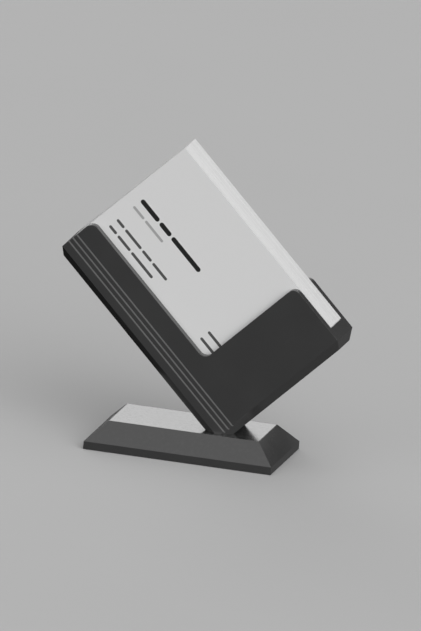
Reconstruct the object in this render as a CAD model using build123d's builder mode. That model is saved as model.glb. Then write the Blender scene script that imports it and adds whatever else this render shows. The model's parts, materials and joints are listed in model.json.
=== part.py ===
"""Desk stand for business cards: a tray tilted on its corner, sunk in a bevelled plinth.

Millimetres, +Z up, +Y to the back. The origin is the middle of the pad's underside, on the desk.
"""

import os
from math import cos, radians, sin, tan

from build123d import *

# Cards: one card, and the air between two of them in the stack
card_length = 85.0
card_height = 55.0
card_thickness = 0.4
card_air = 0.03

# Tray: the solid floor and end that the cards lean on, and the walls in front of and behind them
floor_thickness = 8.2
end_thickness = 8.0
wall_thickness = 3.0
slot_depth = 15.0
card_play = 0.1
lower_bevel = 3.0
tilt_deg = 45.0

# L-shaped walls: width of the band along the floor, width of the band along the end, their corners
floor_band = 18.1
end_band = 28.1
band_radius = 3.0

# Inlaid lines along the floor band, named from the lower edge inwards
line_names = ("outer", "middle", "inner")
line_start = 6.25
line_pitch = 2.0
line_width = 0.5
line_depth = 0.6
line_play = 0.02

# Plinth: its foot, its upright rim, the run of the slopes at its ends, and the strip of its level top
# in front of and behind the tray
plinth_length = 71.3
plinth_depth = 40.6
plinth_height = 10.0
rim_height = 2.9
end_slope = 7.1
top_strip = 2.7

# Seat of the tray: its sharp lower corner below the plinth's top and to the right of its middle
seat_sink = 5.4
seat_offset = 12.1
seat_play = 0.05

# Light plate let into the plinth's top, inside a thin lip
plate_thickness = 1.0
plate_lip = 0.15
plate_play = 0.05

# Non-slip pad let into the underside
pad_thickness = 1.5
pad_proud = 0.15
pad_margin = 4.0
pad_radius = 4.0
pad_play = 0.1

# Countersunk screws from below, into the tray's solid corner
screw_diameter = 3.0
screw_head_diameter = 5.6
screw_head_land = 0.3
screw_spacing = 10.0
screw_tip_cover = 2.0
screw_cone_deg = 90.0
screw_socket_width = 2.0
screw_socket_depth = 1.1
screw_play = 0.2
thread_play = 0.05
tip_play = 0.3

# Worked out: the tray's outer size
tray_length = end_thickness + card_play + card_length
tray_height = floor_thickness + card_play + card_height
tray_depth = slot_depth + 2 * wall_thickness

# Worked out: levels of the plinth and its level top
plinth_bottom = pad_proud
plinth_top = plinth_bottom + plinth_height
recess_top = pad_thickness
top_length = plinth_length - 2 * end_slope
top_depth = tray_depth + 2 * top_strip

# Worked out: the tray's own plane. From the sharp lower corner, x runs up the floor side to the left,
# y runs up the end side to the right, and z runs from the front face to the back.
tilt_sin = sin(radians(tilt_deg))
tilt_cos = cos(radians(tilt_deg))
corner_level = plinth_top - seat_sink
tray_plane = Plane(
    origin=(seat_offset, -tray_depth / 2, corner_level),
    x_dir=(-tilt_cos, 0, tilt_sin),
    z_dir=(0, 1, 0),
)
along_floor = Axis(tray_plane.origin, tray_plane.x_dir)
along_end = Axis(tray_plane.origin, tray_plane.y_dir)

# Worked out: the screws, from the pad's recess up to below the slot's lower corner
screw_radius = screw_diameter / 2
head_radius = screw_head_diameter / 2
cone_spread = tan(radians(screw_cone_deg / 2))
cone_height = (head_radius - screw_radius) / cone_spread
slot_corner = corner_level + max(end_thickness / tilt_sin, floor_thickness / tilt_cos)
screw_tip = slot_corner - screw_tip_cover
screw_plane = Plane((seat_offset, 0, recess_top))
drill_plane = Plane(screw_plane.origin, z_dir=(0, 0, -1))

# Worked out: the stack of cards
card_pitch = card_thickness + card_air
card_count = int((slot_depth - 2 * card_play) / card_pitch)
card_x = end_thickness + card_play
card_y = floor_thickness + card_play
first_card = wall_thickness + card_play


def tray_block(play):
    """Solid block with the tray's outer shape, grown by a play on every side.

    Every edge of its two lower sides is bevelled. The bevel grows by the share that keeps the same
    play on the slope as on the flat sides.
    """
    grown_bevel = lower_bevel + play * (2 - 2**0.5)
    with BuildPart() as block:
        with BuildSketch(tray_plane.offset(-play)):
            with Locations((-play, -play)):
                Rectangle(tray_length + 2 * play, tray_height + 2 * play, align=Align.MIN)
        extrude(amount=tray_depth + 2 * play)
        floor_side = block.faces().sort_by(along_end)[0]
        end_side = block.faces().sort_by(along_floor)[0]
        lower_edges = ShapeList(set(floor_side.edges() + end_side.edges()))
        chamfer(lower_edges, length=grown_bevel)
    return block.part


def line_sketch(number, play):
    """Front view of one inlaid line, or of its groove when there is play around it."""
    with BuildSketch(tray_plane) as line:
        with Locations((0, line_start + number * line_pitch)):
            Rectangle(tray_length, line_width + 2 * play, align=(Align.MIN, Align.CENTER))
    return line.sketch


def plinth_profile(plane, foot, top):
    """Upright section of the plinth: a low rim on the foot, then straight slopes up to the top."""
    with BuildSketch(plane) as profile:
        with BuildLine():
            Polyline(
                (-foot / 2, plinth_bottom),
                (foot / 2, plinth_bottom),
                (foot / 2, plinth_bottom + rim_height),
                (top / 2, plinth_top),
                (-top / 2, plinth_top),
                (-foot / 2, plinth_bottom + rim_height),
                close=True,
            )
        make_face()
    return profile.sketch


def plate_sketch(play):
    """Rectangle inside the lip of the plinth's top, smaller by a play on every side."""
    margin = plate_lip + play
    with BuildSketch(Plane.XY.offset(plinth_top)) as plate:
        Rectangle(top_length - 2 * margin, top_depth - 2 * margin)
    return plate.sketch


def pad_sketch(play):
    """Rounded rectangle of the pad on the desk, or of its recess when there is play around it."""
    margin = pad_margin - play
    with BuildSketch(Plane.XY) as pad:
        RectangleRounded(plinth_length - 2 * margin, plinth_depth - 2 * margin, pad_radius + play)
    return pad.sketch


def card_stack(first, count):
    """Cards standing in the slot, one behind the other, from the given place in the stack."""
    with BuildPart() as stack:
        for place in range(first, first + count):
            with BuildSketch(tray_plane.offset(first_card + place * card_pitch)):
                with Locations((card_x, card_y)):
                    Rectangle(card_length, card_height, align=Align.MIN)
            extrude(amount=card_thickness)
    return stack.part


def finish(piece, name):
    """Label a finished piece and write it to its own file."""
    piece.label = name
    export_step(piece, f"parts/{name}.step")


os.makedirs("parts", exist_ok=True)

tray_outer = tray_block(0)
tray_seat = tray_block(seat_play)

# Plinth: a bevelled block with a seat for the tray's corner, a recess for the plate and one for the pad
with BuildPart() as plinth:
    extrude(plinth_profile(Plane.XZ, plinth_length, top_length), amount=plinth_depth / 2, both=True)
    extrude(
        plinth_profile(Plane.YZ, plinth_depth, top_depth),
        amount=plinth_length / 2,
        both=True,
        mode=Mode.INTERSECT,
    )
    add(tray_seat, mode=Mode.SUBTRACT)
    extrude(plate_sketch(0), amount=-plate_thickness, mode=Mode.SUBTRACT)
    extrude(pad_sketch(pad_play), amount=recess_top, mode=Mode.SUBTRACT)
    with Locations(drill_plane):
        with GridLocations(0, screw_spacing, 1, 2):
            CounterSinkHole(
                radius=screw_radius + screw_play,
                counter_sink_radius=head_radius + screw_head_land * cone_spread + screw_play,
                counter_sink_angle=screw_cone_deg,
            )

# Plate: lies on the plinth's recess and leaves a window for the tray's corner
with BuildPart() as top_plate:
    extrude(plate_sketch(plate_play), amount=-plate_thickness)
    add(tray_seat, mode=Mode.SUBTRACT)

# Tray: the bevelled block cut to L-shaped walls, with the slot between them open above and to the left
with BuildPart() as holder_tray:
    add(tray_outer)
    with BuildSketch(tray_plane) as bands:
        with BuildLine():
            Polyline(
                (0, 0),
                (tray_length, 0),
                (tray_length, floor_band),
                (end_band, floor_band),
                (end_band, tray_height),
                (0, tray_height),
                close=True,
            )
        make_face()
        for corner in ((tray_length, floor_band), (end_band, floor_band), (end_band, tray_height)):
            fillet(bands.vertices().sort_by_distance(corner)[0], radius=band_radius)
    extrude(amount=tray_depth, mode=Mode.INTERSECT)
    with BuildSketch(tray_plane.offset(wall_thickness)):
        with Locations((end_thickness, floor_thickness)):
            Rectangle(tray_length, tray_height, align=Align.MIN)
    extrude(amount=slot_depth, mode=Mode.SUBTRACT)
    for number in range(len(line_names)):
        extrude(line_sketch(number, line_play), amount=line_depth, mode=Mode.SUBTRACT)
    with BuildSketch(screw_plane):
        with GridLocations(0, screw_spacing, 1, 2):
            Circle(screw_radius + thread_play)
    extrude(amount=screw_tip + tip_play - recess_top, mode=Mode.SUBTRACT)

# Screws: countersunk heads just under the pad, with a hexagonal socket
with BuildPart() as fixing_screws:
    with Locations(screw_plane):
        with GridLocations(0, screw_spacing, 1, 2):
            Cylinder(head_radius, screw_head_land, align=(Align.CENTER, Align.CENTER, Align.MIN))
            with Locations((0, 0, screw_head_land)):
                Cone(
                    head_radius,
                    screw_radius,
                    cone_height,
                    align=(Align.CENTER, Align.CENTER, Align.MIN),
                )
            Cylinder(
                screw_radius,
                screw_tip - recess_top,
                align=(Align.CENTER, Align.CENTER, Align.MIN),
            )
    with BuildSketch(screw_plane):
        with GridLocations(0, screw_spacing, 1, 2):
            RegularPolygon(screw_socket_width / 2, 6, major_radius=False)
    extrude(amount=screw_socket_depth, mode=Mode.SUBTRACT)

# Pad: fills the recess under the plinth, covers the screws and stands proud of the underside
with BuildPart() as base_pad:
    extrude(pad_sketch(0), amount=pad_thickness)

finish(plinth.part, "plinth")
finish(top_plate.part, "top_plate")
finish(holder_tray.part, "holder_tray")
finish(fixing_screws.part, "fixing_screws")
finish(base_pad.part, "base_pad")

# Inlaid lines: strips that fill the grooves and end flush with the tray's left end and right bevel
for number, line_name in enumerate(line_names):
    with BuildPart() as pinstripe:
        extrude(line_sketch(number, 0), amount=line_depth)
        add(tray_outer, mode=Mode.INTERSECT)
    finish(pinstripe.part, f"pinstripe_{line_name}")

# Cards: the one in front, which is taken first, and the rest of the stack behind it
finish(card_stack(0, 1), "front_card")
finish(card_stack(1, card_count - 1), "card_deck")
print("cards in the stack:", card_count)
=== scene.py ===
# %% [markdown]
# # A desk stand for business cards
# The real object is a dark tray that stands on its corner in a low bevelled plinth, with a stack of cards in
# its slot. Its construction is loaded as a fixed frame: every piece is already there at its true size, in
# metres. The lesson dresses that frame. It sets the camera and the light, gives each piece its finish, and
# makes the paper cards, which the frame holds only as plain blocks.

# %% Load the frame
import json
from math import cos, radians, sin

import bpy
import numpy as np
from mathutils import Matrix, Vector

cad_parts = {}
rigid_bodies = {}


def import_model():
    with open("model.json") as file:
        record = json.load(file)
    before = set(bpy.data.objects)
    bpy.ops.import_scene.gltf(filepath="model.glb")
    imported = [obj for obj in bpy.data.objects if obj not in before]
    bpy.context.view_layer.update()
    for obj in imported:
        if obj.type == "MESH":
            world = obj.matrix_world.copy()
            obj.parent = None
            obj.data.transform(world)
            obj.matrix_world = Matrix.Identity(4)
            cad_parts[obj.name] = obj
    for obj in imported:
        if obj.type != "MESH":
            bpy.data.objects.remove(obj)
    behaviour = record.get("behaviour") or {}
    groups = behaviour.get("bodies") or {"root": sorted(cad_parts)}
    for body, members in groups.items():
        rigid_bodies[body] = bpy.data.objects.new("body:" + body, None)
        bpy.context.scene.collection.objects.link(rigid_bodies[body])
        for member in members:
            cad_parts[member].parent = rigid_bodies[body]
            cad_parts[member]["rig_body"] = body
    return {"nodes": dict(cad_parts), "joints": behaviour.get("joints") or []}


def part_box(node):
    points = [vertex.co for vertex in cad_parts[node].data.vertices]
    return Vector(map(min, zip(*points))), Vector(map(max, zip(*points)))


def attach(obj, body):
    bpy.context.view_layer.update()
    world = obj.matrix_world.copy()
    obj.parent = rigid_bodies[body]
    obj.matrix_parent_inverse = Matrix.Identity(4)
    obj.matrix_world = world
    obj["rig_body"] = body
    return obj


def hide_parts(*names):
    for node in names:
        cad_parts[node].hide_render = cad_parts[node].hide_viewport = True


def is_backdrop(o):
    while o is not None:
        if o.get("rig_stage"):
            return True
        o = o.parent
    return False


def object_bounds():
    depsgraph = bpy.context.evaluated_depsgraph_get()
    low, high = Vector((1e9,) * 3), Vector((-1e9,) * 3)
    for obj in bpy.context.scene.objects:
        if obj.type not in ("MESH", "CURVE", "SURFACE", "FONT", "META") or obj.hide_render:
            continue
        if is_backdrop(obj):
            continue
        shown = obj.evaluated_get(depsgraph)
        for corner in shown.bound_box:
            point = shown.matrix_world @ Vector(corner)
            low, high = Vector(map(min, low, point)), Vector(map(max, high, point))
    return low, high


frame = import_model()
cad_low, cad_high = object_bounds()
scene = bpy.context.scene
scene.view_settings.view_transform = "Standard"
mm_per_metre = 1000
print("pieces in the frame:", ", ".join(sorted(frame["nodes"])))
print("size in mm:", [round(mm_per_metre * side, 1) for side in cad_high - cad_low])

# %% [markdown]
# ## Camera
# The photograph shows edges that are parallel on the object as parallel in the picture too, so it was taken
# from far away. A camera with parallel rays says that best. It stands a little to the right and a little
# above, and the whole picture is turned, so that uprights lean to the right.
# Three angles, one scale and one matched point fix the camera, with nothing to focus or to aim.

# %% Directions of the camera
view_azimuth = radians(13.78)
view_elevation = radians(15.34)
view_lean = radians(4.31)


def camera_axes(azimuth, elevation, lean):
    """Right, up and forward of a camera that looks at the object from an azimuth and an elevation.

    The level right and the forward direction come from the two angles, and up is square to both. The lean
    then turns right and up about the forward direction.
    """
    level_right = np.array([cos(azimuth), sin(azimuth), 0])
    forward = np.array([-sin(azimuth) * cos(elevation), cos(azimuth) * cos(elevation), -sin(elevation)])
    level_up = np.cross(level_right, forward)
    right = cos(lean) * level_right + sin(lean) * level_up
    up = cos(lean) * level_up - sin(lean) * level_right
    return right, up, forward


right, up, forward = camera_axes(view_azimuth, view_elevation, view_lean)
print("the camera looks along", forward.round(3))

# %% Camera at the photograph's angle
image_width = 421
image_height = 631
pixels_per_metre = 2728
plinth_pixel = (190.98, 448.72)  # the middle of the plinth's foot in the picture
camera_distance = 1.2

plinth_low, plinth_high = (np.array(corner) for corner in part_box("plinth"))
plinth_foot = (plinth_low + plinth_high) / 2
plinth_foot[2] = plinth_low[2]
to_right = (image_width / 2 - plinth_pixel[0]) / pixels_per_metre
to_top = (plinth_pixel[1] - image_height / 2) / pixels_per_metre
camera_place = plinth_foot + to_right * right + to_top * up - camera_distance * forward

camera_data = bpy.data.cameras.new("photo_camera")
camera_data.type = "ORTHO"
camera_data.ortho_scale = image_height / pixels_per_metre
camera = bpy.data.objects.new("photo_camera", camera_data)
camera_matrix = np.eye(4)
camera_matrix[:3, 0] = right
camera_matrix[:3, 1] = up
camera_matrix[:3, 2] = -forward
camera_matrix[:3, 3] = camera_place
camera.matrix_world = camera_matrix.T  # Blender reads a plain array column by column
scene.collection.objects.link(camera)
scene.camera = camera
print("camera at", camera_place.round(3), "showing", round(camera_data.ortho_scale, 4), "m of height")

# %% [markdown]
# ## Node helpers
# Every finish below is a small tree of shader nodes. Blender wants a call for each node, each value and each
# link, which hides the idea. These helpers say one node in one line: a plain value is set on the input, and
# another node's output is linked to it.


# %% Helpers that place nodes
def put(tree, kind, inputs=None, **settings):
    """Add one node: settings are its own properties, inputs are values to set or outputs to link."""
    node = tree.nodes.new(kind)
    for name, value in settings.items():
        setattr(node, name, value)
    for name, value in (inputs or {}).items():
        if isinstance(value, bpy.types.NodeSocket):
            tree.links.new(value, node.inputs[name])
        else:
            node.inputs[name].default_value = value
    return node


def calculate(tree, operation, first, second=0.0):
    """One sum on two numbers, such as ADD or MULTIPLY."""
    return put(tree, "ShaderNodeMath", {0: first, 1: second}, operation=operation).outputs[0]


def combine(tree, operation, first, second=(0, 0, 0)):
    """One sum on two vectors: it gives a vector, or a number for DOT_PRODUCT and LENGTH."""
    node = put(tree, "ShaderNodeVectorMath", {0: first, 1: second}, operation=operation)
    return node.outputs["Value" if operation in ("DOT_PRODUCT", "LENGTH") else "Vector"]


def spread(tree, value, low, high, new_low, new_high):
    """Carry a value from one range to another along a smooth step, clamped at its ends."""
    inputs = {0: value, 1: low, 2: high, 3: new_low, 4: new_high}
    return put(tree, "ShaderNodeMapRange", inputs, interpolation_type="SMOOTHSTEP").outputs[0]


def blend_colours(tree, share, first, second):
    """The first colour where the share is 0, the second where it is 1."""
    return put(tree, "ShaderNodeMix", {0: share, 6: first, 7: second}, data_type="RGBA").outputs[2]


print("helpers for nodes: put, calculate, combine, spread and blend_colours")


# %% Helpers for finishes
def noise(tree, place, scale, detail=2.0):
    """Soft random values from 0 to 1, with about so many patches to a metre."""
    return put(tree, "ShaderNodeTexNoise", {"Vector": place, "Scale": scale, "Detail": detail}).outputs[0]


def own_place(tree):
    """Object coordinates: where a point lies on its piece, in metres."""
    return put(tree, "ShaderNodeTexCoord").outputs["Object"]


def grey(level):
    """A neutral colour from the level that it has on screen, from 0 to 255, by the sRGB curve."""
    share = level / 255
    linear = share / 12.92 if share <= 0.04045 else ((share + 0.055) / 1.055) ** 2.4
    return (linear, linear, linear, 1)


def new_finish(name, **values):
    """A material with one Principled shader, whose constant values are set on its own sockets."""
    material = bpy.data.materials.new(name)
    material.use_nodes = True
    shader = material.node_tree.nodes["Principled BSDF"]
    for socket, value in values.items():
        shader.inputs[socket.replace("_", " ")].default_value = value
    return material, material.node_tree, shader


def feed(tree, shader, **outputs):
    """Link what varies over the surface to the shader's sockets of those names."""
    for socket, output in outputs.items():
        tree.links.new(output, shader.inputs[socket.replace("_", " ")])


print("grey 128 of 255 on screen is", round(grey(128)[0], 3), "of the light of white")

# %% [markdown]
# ## Floor
# The stand is photographed on a plain pale surface without an edge or a horizon. One large flat grid does
# that. It lies a hair below the pad, so that the two never share a plane, and a faint mottle keeps it from
# looking like a computed flat colour. It takes the stand's shadow, but its own light is kept off the stand,
# as a photographer does with black card, because in the photograph the undersides stay dark.


# %% Mesh helpers
def grid_faces(rows, columns):
    """Quads of a grid of points, numbered row by row: each quad joins a point to its three neighbours."""
    corner = np.arange(rows * columns).reshape(rows, columns)[:-1, :-1].ravel()
    return np.stack([corner, corner + 1, corner + columns + 1, corner + columns], axis=1).tolist()


def level_grid(reach, lines, height):
    """Points of a level square grid, row by row: x and y run over the same even lines, z is one height."""
    line = np.linspace(-reach, reach, lines)
    x, y = np.meshgrid(line, line)
    return np.stack([x, y, np.full_like(x, height)], axis=-1).reshape(-1, 3)


def new_object(name, points, faces, material):
    """A mesh object at the origin, from an array of points and a list of faces."""
    mesh = bpy.data.meshes.new(name)
    mesh.from_pydata(points.tolist(), [], faces)
    mesh.materials.append(material)
    made = bpy.data.objects.new(name, mesh)
    scene.collection.objects.link(made)
    return made


print("a grid of 3 by 3 points has", len(grid_faces(3, 3)), "faces")

# %% Floor
floor_reach = 4.0
floor_drop = 0.00002
floor_lines = 9
floor_levels = (186, 188)
mottle_per_metre = 12


def floor_finish():
    """Matt pale grey with a faint mottle."""
    material, tree, shader = new_finish("floor_paint", Roughness=0.9, Specular_IOR_Level=0.1)
    mottle = noise(tree, own_place(tree), mottle_per_metre, detail=3)
    darker, lighter = floor_levels
    feed(tree, shader, Base_Color=blend_colours(tree, mottle, grey(darker), grey(lighter)))
    return material


floor_points = level_grid(floor_reach, floor_lines, -floor_drop)
floor = new_object("floor", floor_points, grid_faces(floor_lines, floor_lines), floor_finish())
floor.visible_diffuse = False
floor.visible_glossy = False
floor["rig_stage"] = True
print("floor", 2 * floor_reach, "m wide")

# %% [markdown]
# ## Light
# The picture has plain soft studio light. The strongest panel stands at the front right and throws the shadow
# to the left behind the stand. Weaker ones stand low at the front, hang overhead and stand behind, and what
# lies below the horizon is nearly dark. Area lamps could do this, but their mirror images have hard edges, so
# each panel is a soft patch on the sky instead: its strength falls off like a bell around its own direction.
#
# A shiny piece looks like what it mirrors. The narrowest panel stands low behind the stand, to the left,
# where the metal plate mirrors it towards the camera. Rays that leave a mirror also see a pale ceiling, and
# their light has a limit, so that the plate looks like metal from every side and burns out from none.

# %% Panels of light on the sky
panel_narrowness = 10
sky_panels = (
    dict(azimuth=36, elevation=10, strength=2.1),
    dict(azimuth=45, elevation=35, strength=3.45),
    dict(azimuth=-36, elevation=10, strength=1.5),
    dict(azimuth=0, elevation=88, strength=1.25),
    dict(azimuth=180, elevation=60, strength=0.4),
    dict(azimuth=-144, elevation=10, strength=2.8, narrowness=13),
)
ground_panels = (
    dict(azimuth=180, elevation=-20, strength=0.155),
    dict(azimuth=90, elevation=-55, strength=0.2),
)


def panel_light(tree, direction, azimuth, elevation, strength, narrowness=panel_narrowness):
    """Strength of one panel towards a direction: its strength times a power of e.

    The exponent is the cosine between the panel and the direction, less one, times the narrowness: it is 0
    towards the panel and falls as the two part. Azimuth 0 is the front and 90 the right, in degrees, as
    elevation is.
    """
    level = cos(radians(elevation))
    towards = (level * sin(radians(azimuth)), -level * cos(radians(azimuth)), sin(radians(elevation)))
    apart = calculate(tree, "SUBTRACT", combine(tree, "DOT_PRODUCT", direction, towards), 1.0)
    bell = calculate(tree, "EXPONENT", calculate(tree, "MULTIPLY", apart, narrowness))
    return calculate(tree, "MULTIPLY", bell, strength)


def panels_together(tree, direction, panels):
    """Strength of several panels added up."""
    total = 0.0
    for panel in panels:
        total = calculate(tree, "ADD", panel_light(tree, direction, **panel), total)
    return total


print("panels of light:", len(sky_panels), "above the horizon and", len(ground_panels), "below")

# %% Sky
horizon_blur = 0.02
ceiling = dict(azimuth=150, elevation=52, strength=1.0, narrowness=5)
ceiling_edge = (0.3, 0.6)  # heights, as the sine of an elevation, between which the ceiling fades in
mirror_limit = 1.6  # where 1 is white


def studio_sky():
    """Grey light from the sky's panels above the horizon, and from the ground's below it.

    A mirrored ray sees the ceiling too, and its light is cut off at a limit.
    """
    world = bpy.data.worlds.new("studio_sky")
    world.use_nodes = True
    tree = world.node_tree
    direction = put(tree, "ShaderNodeTexCoord").outputs["Generated"]
    height = put(tree, "ShaderNodeSeparateXYZ", {0: direction}).outputs["Z"]
    above = spread(tree, height, -horizon_blur, horizon_blur, 0.0, 1.0)
    below = calculate(tree, "SUBTRACT", 1.0, above)
    from_sky = calculate(tree, "MULTIPLY", panels_together(tree, direction, sky_panels), above)
    from_ground = calculate(tree, "MULTIPLY", panels_together(tree, direction, ground_panels), below)
    light = calculate(tree, "ADD", from_sky, from_ground)
    overhead = spread(tree, height, *ceiling_edge, 0.0, 1.0)
    glow = calculate(tree, "MULTIPLY", panel_light(tree, direction, **ceiling), overhead)
    mirrored = calculate(tree, "MINIMUM", calculate(tree, "ADD", light, glow), mirror_limit)
    in_mirror = put(tree, "ShaderNodeLightPath").outputs["Is Glossy Ray"]
    seen = put(tree, "ShaderNodeMix", {0: in_mirror, 2: light, 3: mirrored}).outputs[0]
    background = tree.nodes["Background"]
    background.inputs["Color"].default_value = (1, 1, 1, 1)
    feed(tree, background, Strength=seen)
    return world


scene.world = studio_sky()
print("the sky has", len(scene.world.node_tree.nodes), "nodes")

# %% [markdown]
# ## Effects that several finishes share
# Moulded plastic is never quite even. It has a fine grain from the mould, it is polished a little where
# hands touch its edges, and dust settles on what faces up. Each of these is a node group: it is built once,
# and each finish sets its own amounts. The groups give only masks and heights, and the shader stays in
# the material.


# %% Grain of the mould
def new_group(name, inputs, outputs):
    """An empty shader node group with inputs of the given kinds and number outputs, and its two ends."""
    tree = bpy.data.node_groups.new(name, "ShaderNodeTree")
    for socket, kind in inputs.items():
        tree.interface.new_socket(socket, in_out="INPUT", socket_type=f"NodeSocket{kind}")
    for socket in outputs:
        tree.interface.new_socket(socket, in_out="OUTPUT", socket_type="NodeSocketFloat")
    return tree, put(tree, "NodeGroupInput").outputs, put(tree, "NodeGroupOutput").inputs


def grain_group():
    """Mould grain: fine noise as a height, and slow patches that shift the gloss."""
    sockets = {"Place": "Vector", "Grains per Metre": "Float", "Patches per Metre": "Float"}
    tree, given, result = new_group("mould_grain", sockets, ["Height", "Patches"])
    tree.links.new(noise(tree, given["Place"], given["Grains per Metre"]), result["Height"])
    tree.links.new(noise(tree, given["Place"], given["Patches per Metre"], detail=4), result["Patches"])
    return tree


mould_grain = grain_group()
print("effect:", mould_grain.name)

# %% Edge wear
edge_turn = (0.7, 0.995)  # agreement of the two normals at a full edge, and on a flat
scuffs_per_metre = 900
scuff_range = (0.35, 0.65)  # noise between the least wear and the most
least_wear = 0.25


def wear_group():
    """Edge wear: where the surface turns within a short reach, broken up by noise.

    The Bevel node gives a normal that is averaged over the reach. On a flat it agrees with the true normal,
    and near an edge it turns away. The dot product of the two measures how well they agree.
    """
    tree, given, result = new_group("edge_wear", {"Place": "Vector", "Reach": "Float"}, ["Mask"])
    softened = put(tree, "ShaderNodeBevel", {"Radius": given["Reach"]}, samples=6).outputs["Normal"]
    true_normal = put(tree, "ShaderNodeNewGeometry").outputs["Normal"]
    agree = combine(tree, "DOT_PRODUCT", softened, true_normal)
    turned = spread(tree, agree, *edge_turn, 1.0, 0.0)
    scuffs = noise(tree, given["Place"], scuffs_per_metre, detail=3)
    broken = spread(tree, scuffs, *scuff_range, least_wear, 1.0)
    tree.links.new(calculate(tree, "MULTIPLY", turned, broken), result["Mask"])
    return tree


edge_wear = wear_group()
print("effect:", edge_wear.name)

# %% Dust
dust_slope = (0.2, 1.0)  # upward part of the normal where dust starts to lie, and where it all does
specks_per_metre = 700
speck_range = (0.45, 0.75)  # noise between no speck and a full one
dust_level = 150


def dust_group():
    """Dust: more where the surface faces up, in soft specks."""
    tree, given, result = new_group("settled_dust", {"Place": "Vector", "Amount": "Float"}, ["Mask"])
    normal = put(tree, "ShaderNodeNewGeometry").outputs["Normal"]
    faces_up = put(tree, "ShaderNodeSeparateXYZ", {0: normal}).outputs["Z"]
    lying = spread(tree, faces_up, *dust_slope, 0.0, 1.0)
    specks = spread(tree, noise(tree, given["Place"], specks_per_metre, detail=4), *speck_range, 0.0, 1.0)
    amount = calculate(tree, "MULTIPLY", calculate(tree, "MULTIPLY", lying, specks), given["Amount"])
    tree.links.new(amount, result["Mask"])
    return tree


settled_dust = dust_group()
print("effect:", settled_dust.name)

# %% [markdown]
# ## Dark moulded plastic
# Tray and plinth are the same charcoal plastic, smooth enough that the tray's edge mirrors the white card
# beside it. A dark base colour and a fairly low roughness give that mirror at flat angles and leave the
# faces dark. The grain is a bump far smaller than a millimetre, and worn edges are a little paler and
# smoother. The inlaid lines and the rubber pad differ only in grey, gloss and grain, so one function makes
# all four.


# %% Helpers for effects and bumps
def put_group(tree, group, **amounts):
    """Add a shared effect with its amounts, and give its outputs."""
    inputs = {name.replace("_", " "): value for name, value in amounts.items()}
    return put(tree, "ShaderNodeGroup", inputs, node_tree=group).outputs


def bump(tree, height, strength, distance):
    """A normal that is tilted by a height, whose range from 0 to 1 stands for a distance in metres."""
    inputs = {"Height": height, "Strength": strength, "Distance": distance}
    return put(tree, "ShaderNodeBump", inputs).outputs[0]


print("effects to choose from:", ", ".join(group.name for group in bpy.data.node_groups))

# %% Plastic finishes
plastic_ior = 1.56
patches_per_metre = 70
patch_range = (0.3, 0.7)  # noise between the glossiest patch and the dullest
patch_tone = 2  # levels of grey to either side
patch_gloss = 0.04  # roughness to either side
wear_reach = 0.0004
wear_share = 0.3
wear_paler = 40
wear_polish = 0.06
trace_of_dust = 0.03


def moulded_plastic(name, level, roughness, grains):
    """Satin plastic of one grey level with grain, patches of gloss, worn edges and a trace of dust."""
    material, tree, shader = new_finish(name, IOR=plastic_ior)
    place = own_place(tree)
    grain = put_group(
        tree, mould_grain, Place=place, Grains_per_Metre=grains, Patches_per_Metre=patches_per_metre
    )
    wear = put_group(tree, edge_wear, Place=place, Reach=wear_reach)["Mask"]
    dust = put_group(tree, settled_dust, Place=place, Amount=trace_of_dust)["Mask"]
    plain = blend_colours(tree, grain["Patches"], grey(level - patch_tone), grey(level + patch_tone))
    worn = blend_colours(tree, calculate(tree, "MULTIPLY", wear, wear_share), plain, grey(level + wear_paler))
    colour = blend_colours(tree, dust, worn, grey(dust_level))
    glossiest = roughness - patch_gloss
    dullest = roughness + patch_gloss
    uneven = spread(tree, grain["Patches"], *patch_range, glossiest, dullest)
    polished = calculate(tree, "SUBTRACT", uneven, calculate(tree, "MULTIPLY", wear, wear_polish))
    normal = bump(tree, grain["Height"], strength=0.12, distance=0.00004)
    feed(tree, shader, Base_Color=colour, Roughness=polished, Normal=normal)
    return material


tray_plastic = moulded_plastic("tray_plastic", level=64, roughness=0.18, grains=4000)
plinth_plastic = moulded_plastic("plinth_plastic", level=64, roughness=0.18, grains=4000)
line_plastic = moulded_plastic("line_plastic", level=110, roughness=0.35, grains=5000)
pad_rubber = moulded_plastic("pad_rubber", level=36, roughness=0.8, grains=2500)
print("plastic finishes:", tray_plastic.name, plinth_plastic.name, line_plastic.name, pad_rubber.name)

# %% [markdown]
# ## Metal finishes
# The plate on the plinth's top is satin aluminium, anodised grey. In the photograph it is pale where it
# mirrors the light behind the stand and dark where it mirrors the tray, so it gets a middle grey and nearly
# all of it is metal. Brushing leaves fine streaks along its length. Noise that is stretched many times over
# makes them, and shifts colour, gloss and bump together. A little dust lies on it and takes some of the
# mirror away. The screws are zinc-plated steel, with shorter streaks.

# %% Metal finishes
streaks_per_metre = 5000
streak_range = (0.3, 0.7)  # noise between the glossiest streak and the dullest
streak_tone = 5  # levels of grey to either side
streak_gloss = 0.05  # roughness to either side
bare_metal = 0.97
film_of_dust = 0.15


def brushed_metal(name, level, roughness, stretch):
    """Satin metal whose streaks are noise on places that are drawn together along x, which draws it out."""
    material, tree, shader = new_finish(name)
    place = own_place(tree)
    drawn = put(tree, "ShaderNodeMapping", {"Vector": place, "Scale": (stretch, 1, 1)}).outputs[0]
    streaks = noise(tree, drawn, streaks_per_metre, detail=3)
    dust = put_group(tree, settled_dust, Place=place, Amount=film_of_dust)["Mask"]
    bare = blend_colours(tree, streaks, grey(level - streak_tone), grey(level + streak_tone))
    colour = blend_colours(tree, dust, bare, grey(dust_level))
    metal = calculate(tree, "SUBTRACT", bare_metal, dust)
    glossiest = roughness - streak_gloss
    dullest = roughness + streak_gloss
    uneven = spread(tree, streaks, *streak_range, glossiest, dullest)
    normal = bump(tree, streaks, strength=0.08, distance=0.00002)
    feed(tree, shader, Base_Color=colour, Metallic=metal, Roughness=uneven, Normal=normal)
    return material


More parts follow.
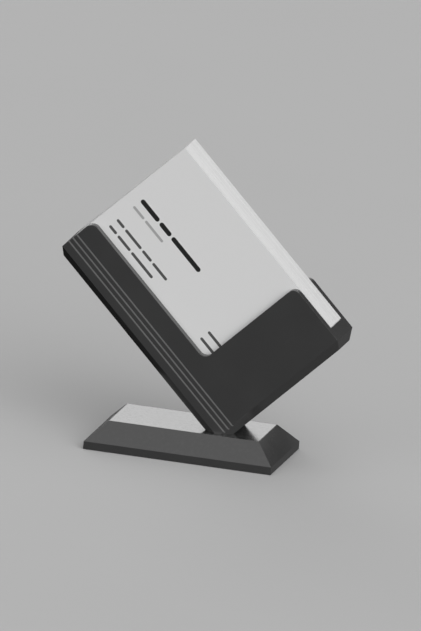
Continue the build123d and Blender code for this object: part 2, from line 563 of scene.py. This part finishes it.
plate_metal = brushed_metal("plate_metal", level=163, roughness=0.18, stretch=0.02)
screw_steel = brushed_metal("screw_steel", level=205, roughness=0.35, stretch=0.5)
print("metal finishes:", plate_metal.name, screw_steel.name)

# %% [markdown]
# ## Softened edges
# No real edge is perfectly sharp. The frame's meshes are loose triangles, so three modifiers work on each
# piece in turn: Weld joins the triangles, Decimate takes flat triangles together as one face, and Bevel
# rounds what is left of the edges and keeps the shading of the flats flat. The frame's own mesh stays as it
# was. A moulded edge is rounder than a cut one, so each piece has its own width.

# %% Finish for every piece of the frame
weld_distance = 0.000001
flat_angle = radians(0.5)
edge_angle = radians(20)
bevel_steps = 2


def soften_edges(piece, width):
    """Weld, flatten and bevel a piece of the frame by modifiers."""
    weld = piece.modifiers.new("join_triangles", "WELD")
    weld.merge_threshold = weld_distance
    flat = piece.modifiers.new("join_flats", "DECIMATE")
    flat.decimate_type = "DISSOLVE"
    flat.angle_limit = flat_angle
    bevel = piece.modifiers.new("soften_edges", "BEVEL")
    bevel.width = width
    bevel.segments = bevel_steps
    bevel.limit_method = "ANGLE"
    bevel.angle_limit = edge_angle
    bevel.harden_normals = True


finishes = {
    "holder_tray": (tray_plastic, 0.00025),
    "plinth": (plinth_plastic, 0.00005),
    "top_plate": (plate_metal, 0.00005),
    "pinstripe_outer": (line_plastic, 0.00004),
    "pinstripe_middle": (line_plastic, 0.00004),
    "pinstripe_inner": (line_plastic, 0.00004),
    "fixing_screws": (screw_steel, 0.00008),
    "base_pad": (pad_rubber, 0.0002),
}
for name, (material, edge_width) in finishes.items():
    piece = frame["nodes"][name]
    piece.data.materials.clear()
    piece.data.materials.append(material)
    soften_edges(piece, edge_width)
    print(name, "gets", material.name, "and edges of", round(mm_per_metre * edge_width, 3), "mm")

# %% [markdown]
# ## Cards in the frame
# The frame holds the cards as sharp blocks in two pieces: the card in front, which is taken first, and the
# rest of the stack. They stand in the tray's tilted plane, so they are measured along their own directions:
# up, the way that a card slides out, then right, and back through the stack. Print and paper below take their
# sizes from what is measured here, so they follow the frame.

# %% Measure the cards
card_up = np.array(frame["joints"][0]["axis"])
card_back = np.array([0.0, 1.0, 0.0])
card_right = np.cross(card_up, -card_back)


def measure_cards(node):
    """Middle and half size of a node's cards in their own plane, and the front and back level of each card.

    Each card has two levels, so the sorted levels are a front and a back in turn. They are rounded to a
    thousandth of a millimetre, so that the points of one face count as one level.
    """
    mesh = frame["nodes"][node].data
    points = np.empty(3 * len(mesh.vertices))
    mesh.vertices.foreach_get("co", points)
    points = points.reshape(-1, 3)
    in_plane = np.stack([points @ card_right, points @ card_up], axis=1)
    low = in_plane.min(axis=0)
    high = in_plane.max(axis=0)
    levels = np.unique((points @ card_back).round(6))
    return (low + high) / 2, (high - low) / 2, levels[0::2], levels[1::2]


card_half_size = measure_cards("front_card")[1]
card_mm = 2 * mm_per_metre * card_half_size
print("a card measures", card_mm.round(2), "mm")

# %% [markdown]
# ## Paper and print
# The paper is white, with fine fibres that show as a faint mottle, and each card differs a little. Its print
# is a printer's dummy: lines of bars with round ends, in inks and sizes that are usual on such a card. A
# picture could be laid on the card, but nodes that draw the bars in millimetres on the UV map of the front
# stay sharp at any distance, and move with each card.

# %% One printed bar
ink_softness = 0.06


def bar_group():
    """Printed bar: 1 within a radius of a straight run, 0 beyond it, with a soft edge.

    The way from the run's middle loses its sign, then half the run, and is cut off below zero. The length
    of what is left is the distance from the run.
    """
    sockets = {"Place": "Vector", "Middle": "Vector", "Half Run": "Vector", "Radius": "Float"}
    tree, given, result = new_group("ink_bar", sockets, ["Mask"])
    way = combine(tree, "SUBTRACT", given["Place"], given["Middle"])
    beyond = combine(tree, "SUBTRACT", combine(tree, "ABSOLUTE", way), given["Half Run"])
    distance = combine(tree, "LENGTH", combine(tree, "MAXIMUM", beyond))
    outside = calculate(tree, "SUBTRACT", distance, given["Radius"])
    tree.links.new(spread(tree, outside, -ink_softness, ink_softness, 1.0, 0.0), result["Mask"])
    return tree


ink_bar = bar_group()
print("effect:", ink_bar.name)

# %% Lines of print, in millimetres from the card's lower left corner
print_lines = (
    dict(left=5, level=29, height=1.8, ink=40, bars=(10, 6, 16)),
    dict(left=5, level=25, height=1.0, ink=172, bars=(6, 10)),
    dict(left=5, level=16.8, height=1.1, ink=88, bars=(4, 9, 5, 8)),
    dict(left=5, level=13, height=1.1, ink=88, bars=(4, 7, 12)),
    dict(left=58, level=16.8, height=1.1, ink=88, bars=(9, 10)),
    dict(left=58, level=13, height=1.1, ink=88, bars=(13, 5)),
)
bar_gap = 0.9


def print_line(tree, place, line):
    """Mask of one line of bars, each as long as the line says, from the left end of the first."""
    radius = line["height"] / 2
    left = line["left"]
    mask = 0.0
    for length in line["bars"]:
        middle = (left + length / 2, line["level"], 0)
        half_run = (length / 2 - radius, 0, 0)
        bar = put_group(tree, ink_bar, Place=place, Middle=middle, Half_Run=half_run, Radius=radius)
        mask = calculate(tree, "MAXIMUM", bar["Mask"], mask)
        left += length + bar_gap
    return mask


print("lines of print:", len(print_lines), "with", sum(len(line["bars"]) for line in print_lines), "bars")

# %% Paper
paper_level = 231
tint_darker = 3
# painted shade on the cut edges, standing in for the shade between stacked cards: levels darker than the
# paper
painted_edge_shade = (26, 12)  # of the darkest and of the lightest card
fibres_per_metre = 2500
fibre_darker = 6
fibre_share = 0.5


def printed_paper():
    """White paper with fibres and a tint for each card, with painted shade on its cut edges, and with the
    lines of print.
    """
    material, tree, shader = new_finish("card_paper", Roughness=0.8, Specular_IOR_Level=0.1)
    tint = put(tree, "ShaderNodeAttribute", attribute_name="card_tint").outputs["Fac"]
    cut = put(tree, "ShaderNodeAttribute", attribute_name="cut_edge").outputs["Fac"]
    face = blend_colours(tree, tint, grey(paper_level - tint_darker), grey(paper_level))
    # the cut edges are darkened by painted shade, as falls between the cards of a stack
    edge = blend_colours(tree, tint, *(grey(paper_level - darker) for darker in painted_edge_shade))
    white = blend_colours(tree, cut, face, edge)
    fibres = noise(tree, own_place(tree), fibres_per_metre, detail=4)
    fibre_mask = calculate(tree, "MULTIPLY", fibres, fibre_share)
    colour = blend_colours(tree, fibre_mask, white, grey(paper_level - fibre_darker))
    on_front = put(tree, "ShaderNodeUVMap", uv_map="front_face").outputs["UV"]
    place = combine(tree, "MULTIPLY", on_front, (*card_mm, 0))
    for line in print_lines:
        colour = blend_colours(tree, print_line(tree, place, line), colour, grey(line["ink"]))
    normal = bump(tree, fibres, strength=0.1, distance=0.00003)
    feed(tree, shader, Base_Color=colour, Normal=normal)
    return material


card_paper = printed_paper()
print("paper finish:", card_paper.name, "with", len(card_paper.node_tree.nodes), "nodes")

# %% [markdown]
# ## Shape of the cards
# A business card is a sheet of stiff paper, cut with a knife that rounds its edge a little, so each block of
# the frame is made again as a thin sheet. A bevelled block would do, but numpy makes the whole stack in one
# go: an outline with four round corners is carried along a short profile, from the front face round the edge
# to the back face, and that is repeated for each card.
# A seeded shift of a few hundredths of a millimetre keeps the stack from looking like one block.

# %% Edge and outline of a card
corner_radius = 0.0004
corner_steps = 4
edge_radius = 0.00008
edge_steps = 3


def edge_profile(thickness):
    """Inset and depth of each ring: a quarter circle at the front edge, and its mirror at the back."""
    turn = np.linspace(0, np.pi / 2, edge_steps)
    inset = edge_radius * (1 - np.sin(turn))
    depth = edge_radius * (1 - np.cos(turn))
    return np.concatenate([inset, inset[::-1]]), np.concatenate([depth, thickness - depth[::-1]])


def card_outline(half_size, inset):
    """Rectangle with round corners about the origin: one row for each inset.

    A point is the centre of its corner's arc, plus the arc's radius less the inset in the point's direction.
    """
    quarter = np.linspace(0, np.pi / 2, corner_steps)
    angle = (np.arange(4)[:, None] * np.pi / 2 + quarter).ravel()
    corner = np.repeat([[1, 1], [-1, 1], [-1, -1], [1, -1]], corner_steps, axis=0)
    arc = np.stack([np.cos(angle), np.sin(angle)], axis=1)
    return corner * (half_size - corner_radius) + (corner_radius - inset)[:, None, None] * arc


print("a card has", 2 * edge_steps, "rings of", 4 * corner_steps, "points")


# %% Faces and numbers of the sheets
def sheet_faces(number):
    """Quads and end faces of closed sheets, from the numbers of their points by card, ring and place.

    Quads join each ring to the next, and one face closes each front and each back.
    """
    after = np.roll(number, -1, axis=2)
    quads = np.stack([number[:, :-1], number[:, 1:], after[:, 1:], after[:, :-1]], axis=-1).reshape(-1, 4)
    return quads, [*number[:, 0].tolist(), *number[:, -1, ::-1].tolist()]


def give_numbers(mesh, name, values):
    """Keep a number for each point of a mesh under a name that its finish reads."""
    mesh.attributes.new(name, "FLOAT", "POINT").data.foreach_set("value", values.ravel())


one_card = np.arange(8 * edge_steps * corner_steps).reshape(1, 2 * edge_steps, 4 * corner_steps)
print("a sheet has", len(sheet_faces(one_card)[0]), "quads round its edge")


# %% Sheets of paper
def paper_sheets(name, node, seed, uneven):
    """The cards of one node as closed sheets, with a UV map over their front faces and a tint for each card.

    A point is the card's middle and shift, plus the outline of its ring, at the depth of its ring behind the
    card's front.
    """
    middle, half_size, fronts, backs = measure_cards(node)
    count = len(fronts)
    random = np.random.default_rng(seed)
    shift = random.uniform(-uneven, uneven, (count, 2))
    tint = random.uniform(0, 1, count)
    inset, depth = edge_profile((backs - fronts).mean())
    outline = card_outline(half_size, inset)
    flat = (middle + shift)[:, None, None] + outline
    level = (fronts[:, None] + depth)[:, :, None, None]
    points = flat[..., :1] * card_right + flat[..., 1:] * card_up + level * card_back
    number = np.arange(points.size // 3).reshape(points.shape[:3])
    quads, ends = sheet_faces(number)
    faces = [*quads.tolist(), *ends]
    made = new_object(name, points.reshape(-1, 3), faces, card_paper)
    mesh = made.data
    mesh.polygons.foreach_set("use_smooth", np.arange(len(faces)) < len(quads))
    front_places = np.tile((outline[0] + half_size) / (2 * half_size), (count, 1))
    places = np.full((len(mesh.loops), 2), -1.0)
    places[quads.size : quads.size + len(front_places)] = front_places
    mesh.uv_layers.new(name="front_face").data.foreach_set("uv", places.ravel())
    give_numbers(mesh, "card_tint", np.repeat(tint, number[0].size))
    give_numbers(mesh, "cut_edge", np.broadcast_to((inset < edge_radius)[:, None], number.shape))
    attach(made, frame["nodes"][node]["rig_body"])
    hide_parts(node)
    print(name, "has", count, "cards of", (2 * mm_per_metre * half_size).round(1), "mm")


paper_sheets("paper_front_card", "front_card", seed=1, uneven=0.0)
paper_sheets("paper_card_stack", "card_deck", seed=2, uneven=0.00005)

# %% [markdown]
# ## Size against the frame
# The last step compares the size of the dressed object with the frame's.

# %% Sizes
new_low, new_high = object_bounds()
growth = max(*(cad_low - new_low), *(new_high - cad_high))
print("grown by at most", round(mm_per_metre * growth, 3), "mm")
